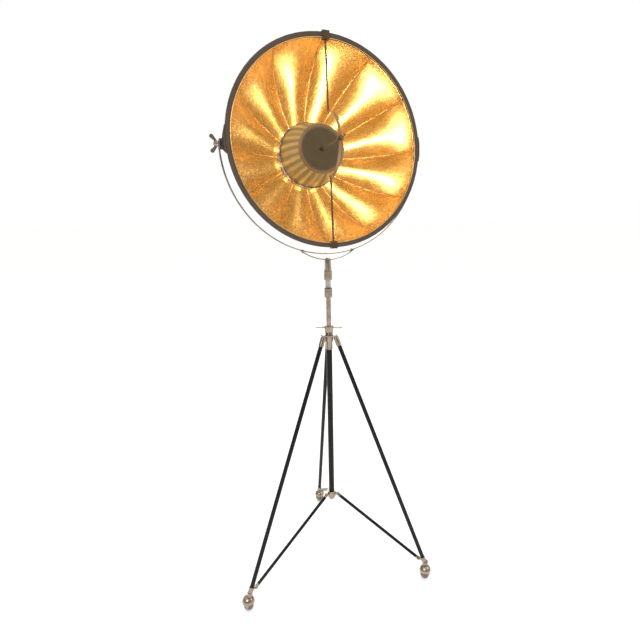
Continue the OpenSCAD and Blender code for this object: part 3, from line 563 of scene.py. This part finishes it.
def make_rib_channels(material):
    """Sewn cloth channel over each rib, outside the shade; the first stands for the CAD's ribs."""
    for gore in range(GORES):
        points, uvs = [], []
        for i in range(CHANNEL_STEPS + 1):
            points += channel_row(GORE_TURN * gore, CHANNEL_FROM + CHANNEL_SPAN * i / CHANNEL_STEPS)
            uvs += [(k / CHANNEL_ARC * 2 * CHANNEL_HALF_W, i / CHANNEL_STEPS * ALONG[-1])
                    for k in range(CHANNEL_ARC + 1)]
        mesh = mesh_from("channel", points, grid_faces(CHANNEL_STEPS + 1, CHANNEL_ARC + 1))
        lay_uv(mesh, uvs)
        piece = new_object(f"rib_channel_{gore + 1:02d}", mesh, material, "shade")
        thicken(piece, CHANNEL_THICKNESS)
        if gore == 0:
            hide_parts("shade_ribs")


# ---------- rim pieces ----------

# The tape's steps round the hoop and round its section, and how its wraps lap
BINDING_STEPS, BINDING_SIDES = 480, 28
BINDING_CORNER = 0.55
TAPE_STEP, TAPE_INSET = 0.35 * MM, 0.5 * MM
TAPE_WRAP_STEPS = 8
TAPE_GIRTH = 60 * MM
PIPING_STEPS = 240
PIPING_R, PIPING_OUT, PIPING_DOWN = 1.1 * MM, 0.2 * MM, 2.5 * MM


def squared(wave):
    """Fills a sine or cosine out, so that the section it draws has round corners and flat sides."""
    return math.copysign(abs(wave) ** BINDING_CORNER, wave)


def binding_point(k, j):
    """Place and UV of the tape at step k round the hoop and j round its section."""
    turn, a = TAU * k / BINDING_STEPS, TAU * j / BINDING_SIDES
    wrap = TAPE_STEP * ((k / TAPE_WRAP_STEPS + j / BINDING_SIDES) % 1.0) - TAPE_INSET
    r = RIM_R - HOOP_W / 2 + squared(math.cos(a)) * (HOOP_W / 2 + wrap)
    z = squared(math.sin(a)) * (HOOP_T / 2 + wrap)
    return SHADE @ polar(r, turn, z), (turn * RIM_R, j / BINDING_SIDES * TAPE_GIRTH)


def make_binding(material):
    """Tape bound round the hoop, each wrap lapping the last."""
    spots = [binding_point(k, j) for k in range(BINDING_STEPS) for j in range(BINDING_SIDES)]
    faces = grid_faces(BINDING_STEPS, BINDING_SIDES, round_rows=True, round_cols=True)
    mesh = mesh_from("rim_binding", [point for point, uv in spots], faces)
    lay_uv(mesh, [uv for point, uv in spots])
    binding = new_object("rim_binding", mesh, material, "shade")
    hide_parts("rim_hoop")


def make_piping(material):
    """Bright piping along the hoop's inner edge."""
    radius, height = RIM_R - HOOP_W + PIPING_OUT, HOOP_T / 2 - PIPING_DOWN
    ring = [SHADE @ polar(radius, TAU * k / PIPING_STEPS, height) for k in range(PIPING_STEPS)]
    mesh = mesh_from("rim_piping", *tube_along(ring, PIPING_R, closed=True))
    edge = new_object("rim_piping", mesh, material, "shade")


# ---------- the bell's front ----------

# The top stands above the node's middle; depths are below the top and the rest is inside the edge
CAP_SEGMENTS, CAP_DOME_STEPS = 128, 10
CAP_HOLE_R = 6 * MM
CAP_TOP = 7 * MM
CAP_DOME, CAP_SUNK, CAP_GUTTER = 2.2 * MM, 2.4 * MM, 4 * MM
CAP_LIP_R = 1.5 * MM
CAP_LIP_TURNS = range(150, -31, -20)
CAP_NECK_IN, CAP_NECK_DOWN = 0.6 * MM, 3.5 * MM
CAP_SIDE_IN, CAP_SIDE_DOWN = 0.4 * MM, 14 * MM
CAP_WALL, CAP_THICKNESS = 2 * MM, 6 * MM


def cap_outline(radius, top):
    """Section of the cap: dome, rolled lip, turned-down side and underside back to the hole."""
    steps = [i / CAP_DOME_STEPS for i in range(CAP_DOME_STEPS + 1)]
    reach = radius - CAP_HOLE_R - CAP_GUTTER
    outline = [(CAP_HOLE_R + reach * t, top - CAP_SUNK - CAP_DOME * t ** 2) for t in steps]
    outline += [(radius - CAP_LIP_R + CAP_LIP_R * math.cos(math.radians(a)),
                 top - CAP_LIP_R + CAP_LIP_R * math.sin(math.radians(a))) for a in CAP_LIP_TURNS]
    outline += [(radius - CAP_NECK_IN, top - CAP_NECK_DOWN), (radius - CAP_SIDE_IN, top - CAP_SIDE_DOWN)]
    outline += [(radius - CAP_WALL, top - CAP_SIDE_DOWN), (radius - CAP_WALL, top - CAP_THICKNESS)]
    return outline + [(CAP_HOLE_R, top - CAP_THICKNESS)]


def make_bell_cap(material):
    """Spun cap with a shallow dome, a rolled lip and a turned-down side."""
    top = (SHADE.inverted() @ middle("bell_cap")).z + CAP_TOP
    mesh = mesh_from("bell_front", *lathe(cap_outline(half_width("bell_cap"), top), CAP_SEGMENTS))
    piece = new_object("bell_front", mesh, material, "bell")
    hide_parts("bell_cap")


# ---------- carried-over CAD nodes ----------

def repaint(pattern, material):
    """Gives every CAD node whose name starts with pattern its material."""
    for name, node in frame["nodes"].items():
        if name.startswith(pattern):
            node.data.materials.clear()
            node.data.materials.append(material)


def finish_cad_nodes():
    paint = {
        nickel("nickel_plate"): [
            "column_ferrule", "column_end_cap", "crown", "collet_nut", "spider_hub", "leg_top_ferrule",
            "foot_ferrule", "strut_ends", "caster_hood", "pole_tube", "pole_barrel", "pan_collar",
            "yoke_stud", "wing_nut", "thumb_nut"],
        nickel("satin_steel", (0.50, 0.47, 0.43), 0.28, 0.42): [
            "collet_body", "base_screws", "pan_spigot", "pan_lock_screw", "saddle_nut", "saddle_rivets",
            "pivot_studs", "focus_bushing", "cord_gland", "bulb_base"],
        nickel("yoke_steel", (0.42, 0.33, 0.24), 0.22, 0.36): ["yoke_saddle", "yoke_bar"],
        nickel("wheel_metal", (0.27, 0.225, 0.18), 0.25, 0.4): ["caster_wheel"],
        bronze_metal("bronze_lacquer", (0.095, 0.055, 0.027), (0.055, 0.031, 0.015)): [
            "cross_rod", "rod_clips", "focus_nut"],
        # The same bronze as the rod, painted lighter and more golden: painted light thrown on the bow by the
        # gold dish
        bronze_metal("bow_bronze_painted_lit", (0.34, 0.20, 0.095), (0.22, 0.125, 0.055)): ["rod_bow"],
        satin_lacquer("stem_lacquer", (0.125, 0.092, 0.045)): ["focus_stem"],
        satin_lacquer("black_plastic", (0.018, 0.017, 0.016)): ["pivot_spacers", "lamp_socket"],
        enamel_black(): ["column_tube", "leg_tube", "strut_tube", "back_cap"],
        rim_tape("pad_cover", "Object"): ["rim_pads"],
        bell_polish(): ["bell_skirt"],
        hammered_mirror(): ["bell_ring"],
        opal_bulb(): ["bulb_glass"],
    }
    for material, patterns in paint.items():
        for pattern in patterns:
            repaint(pattern, material)


# ---------- stage ----------

FLOOR_HALF = 30
# Each studio light's name, place, diameter and power
STUDIO_LIGHTS = (
    ("key", (-2.6, -2.8, 3.4), 1.6, 70),
    ("fill", (3.2, -1.6, 2.2), 2.2, 30),
    ("back", (0.6, 3.2, 2.8), 2.0, 40),
)
BULB_BEHIND_RIM = -130 * MM
BULB_ENERGY, BULB_COLOUR, BULB_SOFTNESS = 5.5, (1.0, 0.95, 0.86), 30 * MM

# Where the camera stands from the foot of the column, and how it is turned
CAMERA_FROM_COLUMN = Vector((-0.6269, -1.8401, 1.6854))
CAMERA_HEADING = math.radians(23.820)
CAMERA_DOWN = math.radians(15.971)
CAMERA_ROLL = math.radians(0.412)
CAMERA_SENSOR, CAMERA_LENS = 36.0, 26.4875
CAMERA_SHIFT = (-0.0761, 0.0245)


def make_floor():
    corners = [(-FLOOR_HALF, -FLOOR_HALF, 0), (FLOOR_HALF, -FLOOR_HALF, 0),
               (FLOOR_HALF, FLOOR_HALF, 0), (-FLOOR_HALF, FLOOR_HALF, 0)]
    floor = new_object("floor", mesh_from("floor", corners, [(0, 1, 2, 3)]), pale_floor(), None, smooth=False)


def area_light(name, place, size, power):
    """A round light that faces the middle of the lamp."""
    data = bpy.data.lights.new(name, "AREA")
    data.shape, data.size, data.energy = "DISK", size, power
    light = bpy.data.objects.new(name, data)
    light.location = place
    target = Vector((0, 0, (CAD_BOX[0].z + CAD_BOX[1].z) / 2))
    light.rotation_euler = (target - Vector(place)).to_track_quat("-Z", "Y").to_euler()
    bpy.context.scene.collection.objects.link(light)


def make_world():
    """White round about, with a darker horizon and brighter ceiling for what mirrors on the metal."""
    n = Nodes(bpy.data.worlds.new("studio"))
    height = n.split(n.make("ShaderNodeTexCoord", "Generated"))[2]
    mirrored = n.ramp(height, 0.16, 1.0, (0.05, 0.85))
    glossy = n.make("ShaderNodeLightPath", "Is Glossy Ray")
    bpy.context.scene.world = n.finish(Color=n.mix(glossy, 1.0, mirrored), Strength=1.0)


def make_studio():
    bpy.context.scene.view_settings.view_transform = "Standard"
    make_world()
    for light in STUDIO_LIGHTS:
        area_light(*light)


def light_the_bulb(receivers):
    """The lamp's own light: it lights only the receivers, and the bell does not block it."""
    data = bpy.data.lights.new("bulb_light", "POINT")
    data.energy, data.color, data.shadow_soft_size = BULB_ENERGY, BULB_COLOUR, BULB_SOFTNESS
    light = bpy.data.objects.new("bulb_light", data)
    bpy.context.scene.collection.objects.link(light)
    light.location = SHADE @ Vector((0, 0, BULB_BEHIND_RIM))
    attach(light, "shade")
    lit = bpy.data.collections.new("lit_by_bulb")
    for piece in receivers:
        lit.objects.link(piece)
    light.light_linking.receiver_collection = lit
    light.light_linking.blocker_collection = lit


def make_camera():
    data = bpy.data.cameras.new("camera")
    data.sensor_width, data.lens = CAMERA_SENSOR, CAMERA_LENS
    data.shift_x, data.shift_y = CAMERA_SHIFT
    camera = bpy.data.objects.new("camera", data)
    ahead = Vector((math.sin(CAMERA_HEADING), math.cos(CAMERA_HEADING), 0))
    level = Vector((math.cos(CAMERA_HEADING), -math.sin(CAMERA_HEADING), 0))
    forward = ahead * math.cos(CAMERA_DOWN) - Vector((0, 0, math.sin(CAMERA_DOWN)))
    top = level.cross(forward)
    right = level * math.cos(CAMERA_ROLL) + top * math.sin(CAMERA_ROLL)
    above = right.cross(forward)
    column = middle("column_tube")
    place = Vector((column.x, column.y, 0)) + CAMERA_FROM_COLUMN
    camera.matrix_world = Matrix.Translation(place) @ Matrix((right, above, -forward)).transposed().to_4x4()
    bpy.context.scene.collection.objects.link(camera)
    bpy.context.scene.camera = camera


def build():
    finish_cad_nodes()
    leaf, seam, cloth = gold_leaf(), gold_seam(), black_cloth()
    lining = make_gores("lining_gore", LINING_OUT, leaf, "shade_lining")
    make_gores("cloth_gore", CLOTH_OUT, cloth, "shade_skin")
    seams = make_seams(seam)
    make_rib_channels(cloth)
    make_binding(rim_tape("rim_tape", "UV"))
    make_piping(seam)
    make_bell_cap(bell_enamel())
    make_floor()
    make_studio()
    light_the_bulb(lining + seams)
    make_camera()


build()
